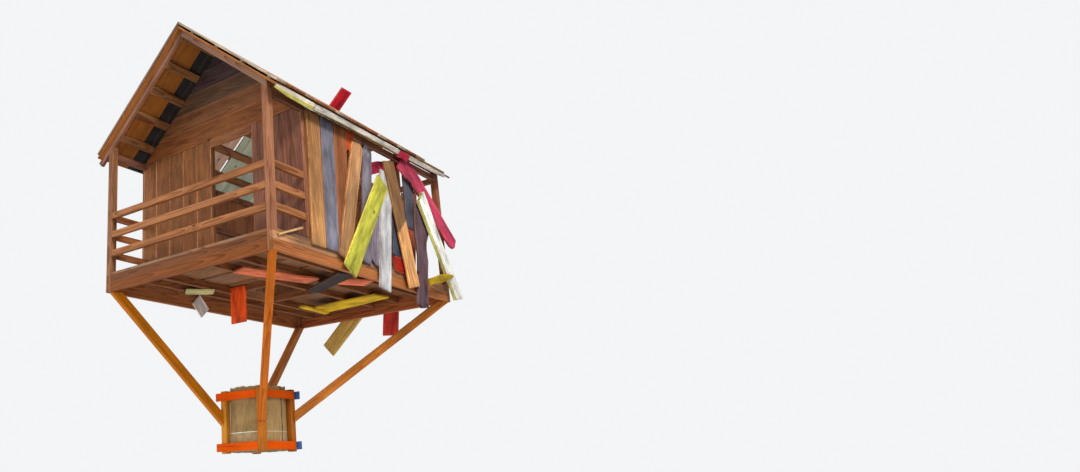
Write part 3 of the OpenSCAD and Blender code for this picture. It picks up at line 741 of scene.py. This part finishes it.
# The two wall stains have much paler arrises, which are painted light in the seams between boards.
walling = timber("wall stain", (0.5, 0.36, 0.27), 0.75, 0.35, 0.10, 0.0, 0.66, mottle=0.5,
                 rings=34.0, arris_wear_and_seam_light=(1.9, 1.75, 1.65))
seamed = timber("front wall stain", (0.52, 0.38, 0.29), 0.45, 0.35, 0.10, 0.0, 0.66, mottle=0.6,
                rings=24.0, arris_wear_and_seam_light=(2.7, 3.1, 3.6))
honeyed = timber("honey stain", (0.56, 0.40, 0.26), 0.6, 0.4, 0.06, 0.0, 0.6, knots=0.3,
                 sheen=0.08)
painted = timber("old paint", (0.66, 0.60, 0.58), 0.55, 0.9, 0.14, 0.0, 0.7, knots=0.35,
                 mottle=0.9)
glossy = timber("band paint", (0.72, 0.55, 0.42), 0.3, 0.6, 0.0, 0.0, 0.6, knots=0.15,
                mottle=0.2, sheen=0.05, arris_wear_and_seam_light=(1.09, 1.075, 1.065))
sawn = timber("sawn timber", (0.5, 0.38, 0.28), 0.9, 0.0, 0.0, 0.4, 0.75)
faded = timber("weathered boards", (0.5, 0.42, 0.36), 0.9, 0.25, 0.12, 0.5, 0.76)


def nail_steel():
    f = Finish("nail steel")
    spot = f.add("TexCoord", out="Object")
    rust = f.noise(spot, scale=30.0, detail=3.0).ramp(0.45, 0.6)
    grit = f.noise(spot, scale=900.0)
    colour = f.blend(rust, shade(120, 118, 116), shade(92, 58, 40))
    return f.done(colour, 0.4 + rust * 0.4, grit, 0.0002, Metallic=0.6)


steel = nail_steel()
print("nodes in one timber finish:", len(stained.node_tree.nodes))

# %% [markdown]
# The roof is closed by thin panels of bare sheathing, orange brown at the verge. One strip of them
# is faced with black bitumen paper, which is dull, slightly mottled and shows fine creases.

# %% Panels
def bitumen():
    f = Finish("bitumen paper")
    spot = f.add("TexCoord", out="Object")
    mottle = f.noise(spot, scale=9.0, detail=4.0)
    grit = f.noise(spot, scale=420.0, detail=2.0)
    crease = (f.noise(spot, scale=3.2, detail=2.0) - 0.5).math("ABSOLUTE").ramp(0.0, 0.02)
    colour = f.blend(mottle.ramp(0.3, 0.75), shade(26, 22, 21), shade(48, 42, 38))
    colour = f.blend(grit.ramp(0.6, 0.8) * 0.4, colour, shade(96, 90, 84))
    return f.done(colour, 0.62 + mottle * 0.3, crease * 0.6 + grit * 0.4, 0.0012)


papered = bitumen()
sheathing = timber("sheathing", (0.5, 0.36, 0.26), 0.5, 0.0, 0.0, 0.0, 0.7, knots=0.2)
print("nodes in the bitumen paper:", len(papered.node_tree.nodes))

# %% [markdown]
# ## Dressing the hut
# Each node is now given its colours. A look is a place, a finish and a colour; where a node holds
# boards of several colours, each board takes the look that is nearest to its middle. Places are
# reckoned from the middle of the deck in millimetres, as a builder would measure them.

# %% Looks
def at(x, y, z):
    """A place measured in millimetres from the deck's middle at the rim's foot, in the frame."""
    return tuple(v / 1000 + foot for v, foot in zip((x, y, z), DECK_FOOT))


def one(coat, red, green, blue, **more):
    """One look for a whole node."""
    return [((0, 0, 0), coat, shade(red, green, blue), more)]


def boards(coat, rows):
    """Looks for boards of one coat: rows of place, colour and, at times, what else it has."""
    return [(at(*place), coat, shade(*colour), *more) for place, colour, *more in rows]


print("the deck's middle is at", at(0, 0, 0))

# %% [markdown]
# The collar is the brightest timber: honey coloured posts between bands in an orange coat, two of
# which end in blue paint. The rims and joists over them have a browner stain. The near and the
# right post and the front rims are given darker colours than the others, which is painted shade.

# %% Collar, braces and deck
BAND = (226, 87, 2)
BLUE_END = dict(tail=(0.9, shade(70, 116, 190)))
# The posts share one stain: the near and the right one have a darker colour, which is painted
# shade.
dress("collar_posts", "honey_wood", boards(honeyed, [
    ((-620, -457, -1415), (222, 154, 55)), ((-100, -457, -1415), (182, 106, 30)),
    ((-100, 63, -1415), (182, 106, 33)), ((-620, 63, -1415), (190, 120, 40))]))
dress("collar_bands", "red_stain", boards(glossy, [
    ((-417, -517, -1700), BAND), ((-417, -517, -1100), (246, 92, 2)),
    ((-300, 117, -1700), BAND, BLUE_END), ((-300, 117, -1100), BAND, BLUE_END)]))
dress("collar_side_bands", "red_stain", one(glossy, *BAND))
dress("brace_front_right", "honey_wood", one(honeyed, 204, 110, 32))
dress("brace_front_left", "honey_wood", one(honeyed, 196, 117, 14))
dress("brace_back_right", "honey_wood", one(honeyed, 190, 114, 46))
dress("brace_back_left", "honey_wood", one(honeyed, 190, 114, 46))
dress("corner_posts", "brown_wood", boards(stained, [
    ((-1200, -1750, 900), (144, 100, 68)),
    ((1200, -1750, 900), (168, 114, 83)),
    ((1200, 1750, 900), (150, 90, 62)),
    ((-1200, 1750, 900), (150, 100, 68))]))
# The front rims, lower and upper, are darker than those of the other sides: painted shade.
dress("lower_rims", "orange_stain", boards(stained, [
    ((0, -1796, 40), (149, 83, 31)),
    ((1200, 0, 40), (178, 110, 60)),
    ((-1200, 0, 40), (170, 104, 56)),
    ((0, 1796, 40), (190, 109, 60))]))
dress("upper_rims", "weathered_wood", boards(stained, [
    ((0, -1796, 140), (125, 74, 39)),
    ((1200, 0, 140), (166, 122, 88), dict(fade=(0.13, 0.02, 0.7))),
    ((-1200, 0, 140), (160, 102, 62)),
    ((0, 1796, 140), (160, 96, 58))]))
dress("joists", "pale_wood", one(stained, 140, 88, 52))
dress("trunk_headers", "pale_wood", one(stained, 140, 88, 52))
dress("deck_boards", "pale_wood", one(sawn, 150, 104, 66), nails=True)
print("pieces so far:", len(pieces))

# %% [markdown]
# The walls hang on studs and plates. The front has wide boards in one tan stain, which get darker
# and greyer towards the ridge: painted shade under the roof. The left wall can't be seen from the
# front, so it repeats that boarding.

# %% Rails and walls
dress("front_rails", "brown_wood", one(stained, 171, 112, 68), nails=True)
dress("side_rails", "brown_wood", one(stained, 171, 112, 68), nails=True)
dress("wall_studs", "brown_wood", one(stained, 140, 94, 62))
dress("wall_plates", "brown_wood", one(stained, 124, 84, 64))
dress("wall_ties", "brown_wood", one(stained, 140, 94, 62))
dress("front_wall_left", "tan_stain", one(seamed, 153, 99, 58), nails=True)
dress("front_wall_right", "red_brown_stain", one(walling, 140, 93, 74), nails=True)
dress("doorway_header", "tan_stain", one(walling, 164, 108, 68))
# The gable boards are darker and greyer the higher they lie, which is painted shade under the
# roof.
dress("front_gable", "tan_stain", boards(walling, [
    ((0, -1190, 1780), (146, 88, 45)),
    ((0, -1190, 2002), (137, 89, 55)),
    ((0, -1190, 2224), (111, 82, 61)),
    ((0, -1190, 2446), (79, 62, 63)),
    ((0, -1190, 2620), (69, 56, 61))]), nails=True)
dress("left_wall", "brown_wood", one(walling, 156, 106, 72), nails=True)
dress("back_wall", "brown_wood", one(walling, 156, 106, 72), nails=True)
dress("back_gable", "tan_stain", one(walling, 150, 100, 66), nails=True)
print("pieces so far:", len(pieces))

# %% [markdown]
# From below one sees the rafters at the verge, and behind them the panels: bare at the verge, then
# black paper, then paler sheathing. The boards on top show little more than their ends.

# %% Roof
dress("rake_rafters", "fascia_wood", boards(stained, [
    ((-700, -1780, 2200), (158, 113, 90)),
    ((600, -1780, 2200), (167, 129, 106)),
    ((-700, 1780, 2200), (160, 112, 84)),
    ((600, 1780, 2200), (160, 112, 84))]))
dress("purlins", "brown_wood", one(stained, 145, 100, 62))
dress("ridge_beam", "brown_wood", one(stained, 150, 104, 68))
VERGE, PAPER, *SHEETS = (-1573, -1276, -610, 110, 520, 1308)
dress("roof_panels", "dark_panel", boards(sheathing, [
    ((-820, VERGE, 2100), (179, 114, 48), dict(side=shade(136, 72, 34))),
    ((760, VERGE, 2100), (176, 112, 58)),
    ((-820, SHEETS[0], 2100), (236, 200, 176), dict(skirt=(0.12, shade(36, 30, 27)))),
    *(((-820, y, 2100), (206, 220, 196)) for y in SHEETS[1:]),
    *(((760, y, 2100), (150, 118, 92)) for y in SHEETS)]) + boards(papered, [
        ((x, PAPER, 2100), (60, 54, 50)) for x in (-820, 760)]))
dress("roof_battens", "grey_wood", one(faded, 150, 122, 96))
dress("roof_boards_left", "grey_wood", one(faded, 160, 128, 100))
TOP_BOARDS = ((214, 198, 176), (196, 128, 72), (170, 96, 58), (206, 186, 160), (186, 120, 66),
              (176, 92, 60), (196, 140, 88), (208, 190, 168), (178, 104, 60), (186, 84, 60),
              (200, 150, 96), (176, 100, 60))
dress("roof_boards_right", "grey_wood", boards(faded, [
    ((700, -1723 + 149.3 * k, 2280), TOP_BOARDS[k % len(TOP_BOARDS)]) for k in range(24)]))
print("pieces so far:", len(pieces))

# %% [markdown]
# ## The scrap boards
# This wall is the hut's face. The boards were gathered from old fences, doors and shelves, and no
# two have the same coat. They bend and waver more than the new timber does. A fade is a part of a
# board that is made paler or darker: on some boards it is a painted patch of sunlight, on others
# the coat has bleached or darkened.

# %% Brown, slate and grey boards
SCRAP = dict(warp=(0.003, 0.003, 0.002, 0.001, 0.0012, 0.0016), nails=True)
# BROWN1, BROWN4 and SLATE hold painted patches of sunlight: BROWN1 and SLATE are paler at the
# foot, BROWN4 towards its head.
BROWN1 = dict(fade=(0.42, 0.05, 0.28))
BROWN4 = dict(fade=(0.52, 0.82, 0.45), head=((0.0, 0.03), (0.3, 0.0), (0.6, 0.022), (1.0, 0.05)))
SLATE = dict(fade=(0.3, 0.05, 0.3))
FORKED = ((0.0, 0.09), (0.2, 0.03), (0.36, 0.11), (0.5, 0.12), (0.62, 0.02), (0.8, 0.0),
          (1.0, 0.07))
dress("brown_boards", "tan_stain", boards(walling, [
    ((1212, -1040, 900), (171, 124, 77), BROWN1),
    ((1212, -560, 900), (138, 84, 50)),
    ((1237, -424, 830), (164, 122, 82), BROWN4),
    ((-1085, 1762, 900), (150, 98, 62)),
    ((-850, 1762, 900), (164, 108, 68)),
    ((-108, 1762, 900), (140, 92, 60))]), **SCRAP)
dress("slate_boards", "slate_paint", boards(painted, [
    ((1212, -803, 900), (108, 107, 120), SLATE),
    ((1212, 877, 1200), (76, 78, 91)),
    ((1212, 535, 800), (72, 76, 91)),
    ((-610, 1762, 900), (112, 110, 122))]), **SCRAP)
dress("grey_boards", "grey_paint", boards(painted, [
    ((1212, -80, 870), (120, 114, 127),
     dict(head=FORKED, fade=(0.93, 0.97, 0.5))),
    ((1212, 92, 455), (151, 141, 158),
     dict(foot=((0.0, 0.06), (0.3, 0.012), (0.7, 0.0), (1.0, 0.05)))),
    ((-355, 1762, 900), (140, 136, 140))]), **SCRAP)
print("pieces so far:", len(pieces))

# %% [markdown]
# Some boards were broken or cut by eye. Their edges are given as rows along the length: where the
# low and the high edge lie, as shares of the width. Their ends are given as rows over the width.

# %% Yellow, white and tan boards
dress("yellow_boards", "yellow_paint", boards(painted, [
    ((1262, -179, 580), (188, 188, 69), dict(side=shade(232, 226, 96))),
    ((56, 1176, 94), (231, 189, 5),
     dict(cut=((0.0, -0.3, 1.2), (0.5, -0.35, 1.3), (1.0, -0.2, 1.1)))),
    ((-420, 1085, 72), (236, 193, 8)),
    ((-750, -724, 94), (206, 204, 140)),
    ((1332, 1280, 192), (171, 139, 2),
     dict(cut=((0.0, 0.06, 0.82), (0.25, 0.16, 0.86), (0.5, 0.1, 1.0), (0.75, 0.25, 0.96),
               (1.0, 0.42, 0.66)),
          foot=((0.0, 0.0), (0.25, 0.03), (0.5, 0.0), (0.75, 0.035), (1.0, 0.01)))),
    ((1345, -1470, 1610), (232, 226, 210), dict(skirt=(0.52, shade(190, 184, 92)),
     cut=((0.0, 0.35, 0.9), (0.3, 0.1, 0.98), (0.7, 0.0, 1.0), (1.0, 0.1, 1.0)))),
    ((137, 1762, 900), (196, 180, 84))]), **SCRAP)
WHITE_STRIP = ((0.0, 0.1, 1.0), (0.2, 0.26, 1.0), (0.5, 0.3, 0.98), (0.8, 0.3, 1.0),
               (1.0, 0.26, 0.98))
# The first white board's fade is a painted patch of sunlight: it is paler towards its foot.
dress("white_boards", "white_paint", boards(painted, [
    ((1237, 240, 640), (188, 189, 192), dict(fade=(0.26, 0.1, 0.22))),
    ((-1140, -313, 40), (246, 238, 232)),
    ((1345, -310, 1610), (230, 226, 220), dict(cut=WHITE_STRIP, skirt=(0.2, shade(150, 140, 84)))),
    ((1345, 1275, 1610), (206, 200, 190), dict(
        cut=((0.0, 0.3, 0.98), (0.6, 0.34, 0.95), (1.0, 0.5, 0.9)),
        head=((0.0, 0.13), (1.0, 0.17)))),
    ((1212, -1495, 225), (206, 168, 116)),
    ((670, 1762, 880), (206, 120, 96))]), **SCRAP)
# The first tan board's fade is a painted patch of sunlight on its lower part.
dress("tan_boards", "tan_paint", boards(walling, [
    ((1262, 564, 750), (141, 104, 65), dict(fade=(0.46, 0.44, 2.1)))]) + boards(stained, [
        ((-437, 1787, -100), (236, 198, 106))]), **SCRAP)
print("pieces so far:", len(pieces))

# %% [markdown]
# Three boards catch the eye: a plum one that is torn on both sides, a pale one with lime sides
# that leans, and a crimson one with steps in its edge.

# %% Plum, lime and crimson boards
PLUM = ((0.0, -0.05, 1.02), (0.07, -0.04, 1.0), (0.21, 0.0, 0.9), (0.45, -0.14, 0.84),
        (0.55, 0.0, 0.98), (0.61, -0.02, 1.08), (0.74, -0.32, 1.15), (0.78, -0.3, 1.15),
        (0.86, 0.1, 1.1), (1.0, 0.35, 1.1))
dress("plum_board", "plum_paint", one(
    painted, 100, 75, 85, cut=PLUM, head=((0.0, 0.22), (0.6, 0.14), (1.0, 0.12)),
    foot=((0.0, 0.05), (0.2, 0.1), (0.35, 0.03), (0.6, 0.0), (0.8, 0.05), (1.0, 0.02))), **SCRAP)
LIME = ((0.0, -0.25, 1.0), (0.18, -0.12, 1.0), (0.57, 0.02, 1.2), (0.9, 0.08, 1.4),
        (1.0, 0.12, 1.45))
dress("lime_board", "lime_paint", one(
    painted, 240, 240, 234, cut=LIME, side=shade(222, 226, 138),
    head=((0.0, 0.0), (0.5, 0.0), (1.0, 0.06)), foot=((0.0, 0.0), (1.0, 0.05))), **SCRAP)
CRIMSON = ((0.0, 0.0, 1.0), (0.2, -0.06, 1.0), (0.5, -0.22, 1.0), (0.59, -0.26, 1.02),
           (0.61, -0.26, 0.86), (0.69, -0.34, 0.9), (0.76, -0.34, 0.96), (0.78, -0.34, 0.82),
           (0.86, -0.3, 1.02), (1.0, -0.3, 1.2))
dress("crimson_boards", "crimson_paint", boards(painted, [
    ((1262, 1273, 1153), (210, 67, 102),
     dict(cut=CRIMSON, fade=(0.66, 0.72, -0.3),
          foot=((0.0, 0.02), (0.55, 0.0), (0.8, 0.02), (1.0, 0.11)))),
    ((1142, 513, 1475), (196, 52, 84),
     dict(cut=((0.0, 0.0, 1.0), (0.3, 0.1, 1.05), (0.5, -0.05, 0.95), (0.8, 0.0, 1.05),
               (1.0, 0.1, 0.9)))),
    ((1345, 640, 1610), (206, 44, 76),
     dict(cut=((0.0, -0.1, 1.0), (0.5, 0.1, 1.05), (1.0, -0.2, 1.0))))]), **SCRAP)
print("pieces so far:", len(pieces))

# %% [markdown]
# The red and salmon boards are plain. The last one is almost black and hangs under the deck.

# %% Red, salmon and dark boards
dress("red_boards", "red_paint", boards(painted, [
    ((1212, 529, 220), (162, 30, 12)),
    ((1212, 740, 450), (176, 46, 36)),
    ((1212, -348, 1500), (196, 78, 32)),
    ((-500, -328, -50), (246, 87, 23)),
    ((320, 1762, -80), (245, 90, 67)),
    ((400, 1762, 630), (210, 62, 50)),
    ((0, 1245, 2800), (211, 28, 50))]), **SCRAP)
dress("salmon_boards", "salmon_paint", boards(painted, [
    ((1240, 1300, 1690), (226, 200, 196)),
    ((352, -649, 94), (235, 122, 80)),
    ((730, 180, 94), (235, 122, 80))]), **SCRAP)
dress("dark_board", "dark_paint", one(
    painted, 50, 42, 40, cut=((0.0, -0.1, 1.15), (0.4, 0.0, 1.05), (1.0, 0.1, 1.0))), **SCRAP)
print("pieces so far:", len(pieces))

# %% [markdown]
# ## Canvas wrap
# A cloth goes once round inside the collar, so that nothing rubs. It could be hung by simulation,
# but it is stretched between bands that hold it, so its shape is known: a square with round
# corners, that bulges a little between the bands and is covered in sharp creases. It is woven
# here as two skins with rims, and loose threads stand along its raw edges.

# %% The cloth's path
CLOTH_REACH, CLOTH_THICK, CLOTH_MIDDLE_Y = 0.2905, 0.0022, 0.2917
CLOTH_FOOT, CLOTH_TOP = -0.054, 0.648
CLOTH_START = 0.75 * math.pi
STITCH_Z = 0.150
CREASES = 7


def round_the_collar(angle, out):
    """The point at an angle on |x|^p + |y|^p = reach^p, with p largest at two opposite corners."""
    c, s = np.cos(angle), np.sin(angle)
    p = 2.66 + 0.9 * np.clip(-2 * c * s, 0, 1)
    reach = (CLOTH_REACH + out) / (abs(c) ** p + abs(s) ** p) ** (1 / p)
    return reach * c, reach * s + CLOTH_MIDDLE_Y


def creases(angle, height, count):
    """The highest of many sharp ridges, (1 - |sine|)^7, each of which fades in and out."""
    total = np.zeros(angle.shape)
    for _ in range(count):
        turns, rise, start = chance.integers(-9, 10), chance.normal(0, 11), chance.uniform(0, 6.28)
        bend = np.sin(2 * angle + 6 * height + start)
        ridge = (1 - abs(np.sin(turns * angle + rise * height + start + 0.8 * bend))) ** 7
        total = np.maximum(total, ridge * (0.5 + 0.5 * np.sin(3 * angle - 5 * height + 2 * start)))
    return total


def cloth_skins(rows, columns):
    """Both faces of the cloth. It leaves its path by a bulge between the bands, an inward curl
    above them, a low ridge at the stitching and the creases, which are weak at the corners."""
    turn = CLOTH_START + np.linspace(0, 2 * math.pi, columns, endpoint=False)
    s, angle = np.meshgrid(np.linspace(0, 1, rows), turn, indexing="ij")
    wave = sum(np.sin(k * turn + p) / 3 for k, p in ((3, 0.4), (8, 2.0), (19, 4.4)))
    top, foot = CLOTH_TOP + 0.009 * wave, CLOTH_FOOT - 0.004 * np.roll(wave, 70)
    height = foot + (top - foot) * s
    between = np.clip((height - 0.044) / 0.47, 0, 1)
    above = np.clip((height - 0.602) / 0.05, 0, 1)
    fold, slack = creases(angle, height, CREASES), np.sin(math.pi * between)
    free = abs(np.cos(2 * angle))
    out = free * (0.004 * slack - 0.005 * above * (1 + np.sin(9 * angle)))
    out -= (0.1 + 0.9 * free) * (0.001 + 0.008 * slack ** 0.5 + 0.008 * above) * fold
    seam = np.exp(-((height - STITCH_Z) / 0.003) ** 2) * 0.0012
    skins = []
    for half in (CLOTH_THICK / 2, -CLOTH_THICK / 2):
        x, y = round_the_collar(angle, out + seam + half)
        skins.append(np.stack([x, y, height], axis=-1))
    return skins, np.stack([angle * 0.31, height, fold], axis=-1)


(outer, inner), weave = cloth_skins(rows=84, columns=420)
belt = outer[len(outer) // 2]
belt = np.linalg.norm(np.diff(belt, axis=0, append=belt[:1]), axis=1)
print("the cloth goes round in", round(float(belt.sum()), 3), "m")

# %% [markdown]
# The two skins become one closed mesh: the outer quads, the inner ones turned round, and a strip
# of quads along the foot and along the top.

# %% The cloth's mesh
rows, columns = outer.shape[:2]
quads = skin(rows, columns)[0]
far = rows * columns
j = np.arange(columns)
k = (j + 1) % columns
up = (rows - 1) * columns
faces = np.concatenate([quads, quads[:, ::-1] + far,
                        np.stack([j + far, k + far, k, j], axis=1),
                        np.stack([j, k, k + far, j + far], axis=1) + up])
cloth_mesh = bpy.data.meshes.new("canvas")
cloth_mesh.from_pydata(np.concatenate([outer, inner]).reshape(-1, 3).tolist(), [],
                       faces.tolist())
layer = cloth_mesh.attributes.new("weave", "FLOAT_VECTOR", "POINT")
layer.data.foreach_set("vector", np.concatenate([weave, weave]).ravel())
cloth_mesh.polygons.foreach_set("use_smooth", np.ones(len(faces), dtype=bool))
print("faces of the cloth:", len(faces))

# %% [markdown]
# A cut edge of canvas frays. Each loose thread is a bent tube of five rings with three points,
# thin enough that its corners don't show.

# %% Loose threads
RINGS, SIDES = 5, 3
THREAD_RADIUS = 0.0007
TOP_THREADS, FOOT_THREADS = 330, 200


def threads(edge, rise, count):
    """Bent tubes: the edge's point, plus rise * t, plus a lean that grows as t^2."""
    start = edge[chance.integers(0, len(edge), count)]
    t = np.linspace(0, 1, RINGS)[None, :, None]
    long = chance.uniform(0.4, 1.0, (count, 1, 1)) * rise
    lean = chance.normal(0, 0.007, (count, 1, 3)) * (1, 1, 0)
    climb = long * t - 0.004 * np.sign(rise)
    spine = start[:, None] + climb * (0, 0, 1) + lean * t ** 2
    turn = np.arange(SIDES) * 2 * math.pi / SIDES
    ring = np.stack([np.cos(turn), np.sin(turn), 0 * turn], axis=-1) * THREAD_RADIUS
    tube = spine[:, :, None] + ring * (1 - 0.5 * t[..., None])
    first = np.arange(count)[:, None, None] * RINGS * SIDES
    grid, caps = skin(RINGS, SIDES)
    if rise < 0:
        grid, caps = grid[:, ::-1], [c[::-1] for c in caps]
    return tube.reshape(-1, 3), (grid[None] + first).reshape(-1, 4), (
        np.array(caps)[None] + first).reshape(-1, 3)


heads, head_quads, head_caps = threads(outer[-1], 0.020, TOP_THREADS)
feet, foot_quads, foot_caps = threads(outer[0], -0.010, FOOT_THREADS)
fringe_mesh = bpy.data.meshes.new("fringe")
fringe_mesh.from_pydata(np.concatenate([heads, feet]).tolist(), [],
                        [*head_quads.tolist(), *head_caps.tolist(),
                         *(foot_quads + len(heads)).tolist(), *(foot_caps + len(heads)).tolist()])
print("threads:", TOP_THREADS + FOOT_THREADS, "with", len(fringe_mesh.polygons), "faces")

# %% [markdown]
# The canvas is coarse: two threads cross every 2.2 millimetres. One pale line of stitching runs
# round it low down, a darker seam stands upright on one side, and the part under the line is
# paler.

# %% Canvas and thread
WEAVE = 2856.0   # radians to the metre, which is a thread every 2.2 mm
SEAM_AROUND, STITCHED_FROM, STITCHED_TO = 2.010, (1.15, 1.2), (1.69, 1.71)


def canvas():
    """The weave is the product of two sines, one round the cloth and one up it."""
    f = Finish("canvas")
    around, height, fold = f.split(f.attribute("weave"))
    spot = f.add("TexCoord", out="Object")
    blotch = f.noise(spot, scale=5.0, detail=4.0, rough=0.6)
    slub = f.noise(f.join(around * 40.0, height * 300.0, fold), detail=2.0)
    warp = (around * WEAVE).math("SINE")
    weft = (height * WEAVE).math("SINE")
    cloth = warp * weft * 0.5 + 0.5
    colour = f.blend(blotch.ramp(0.3, 0.72), shade(176, 143, 94), shade(144, 112, 71))
    colour = f.blend(slub.ramp(0.45, 0.75) * 0.3, colour, shade(206, 178, 126))
    colour = f.blend(cloth * 0.14, colour, shade(112, 88, 56))
    low = 1.0 - height.ramp(STITCH_Z - 0.008, STITCH_Z)
    colour = f.blend(low * blotch.ramp(0.4, 0.55) * 0.5, colour, shade(206, 184, 146))
    stitch = 1.0 - (height - STITCH_Z).math("ABSOLUTE").ramp(0.003, 0.0045)
    front = around.ramp(*STITCHED_FROM) * (1.0 - around.ramp(*STITCHED_TO))
    colour = f.blend(stitch * (front * 0.6 + 0.4), colour, shade(250, 244, 226))
    seam = 1.0 - (around - SEAM_AROUND).math("ABSOLUTE").ramp(0.008, 0.014)
    colour = f.blend(seam * 0.8, colour, shade(84, 60, 34))
    # Painted shade in the creases: the colour is darker along the folds.
    colour = f.blend(fold.ramp(0.1, 0.9) * 0.28, colour, shade(104, 80, 50))
    return f.done(colour, 0.9 + blotch * 0.08, cloth + slub * 0.8 + stitch, 0.0006,
                  Specular_IOR_Level=0.15)


def yarn():
    f = Finish("loose thread")
    spot = f.add("TexCoord", out="Object")
    twist = f.noise(spot, scale=300.0, detail=2.0)
    pale = f.noise(spot, scale=14.0).ramp(0.4, 0.6)
    colour = f.blend(pale, shade(206, 178, 128), shade(170, 138, 92))
    colour = f.blend(twist * 0.3, colour, shade(110, 84, 52))
    return f.done(colour, 0.85 + twist * 0.1, twist, 0.0003)


cloth_mesh.materials.append(canvas())
fringe_mesh.materials.append(yarn())
wrap = placed(cloth_mesh, "canvas_wrap", "canvas", "trunk_wrap")
fringe = placed(fringe_mesh, "canvas_fringe", "canvas")
print("pieces in all:", len(pieces))
